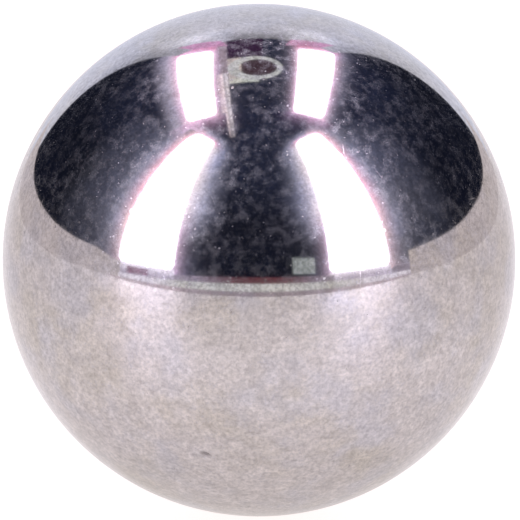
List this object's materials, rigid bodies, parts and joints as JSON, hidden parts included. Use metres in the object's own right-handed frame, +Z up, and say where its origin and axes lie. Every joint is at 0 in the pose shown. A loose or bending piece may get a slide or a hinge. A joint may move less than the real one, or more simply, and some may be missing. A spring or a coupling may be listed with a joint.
{
  "type": "steel ball",
  "caption": "Solid polished steel ball, a true sphere, that rolls or bears on its whole surface in a seat, race or groove.",
  "frame": {"origin": "centre of the ball", "axes": "+Z up, out of the seat; the ball is alike about every axis through its centre, so X and Y are free"},
  "size_m": [0.02, 0.02, 0.02],
  "materials": {
    "polished_steel": "polished"
  },
  "bodies": {
    "root": {"ball": "polished_steel"}
  },
  "joints": []
}
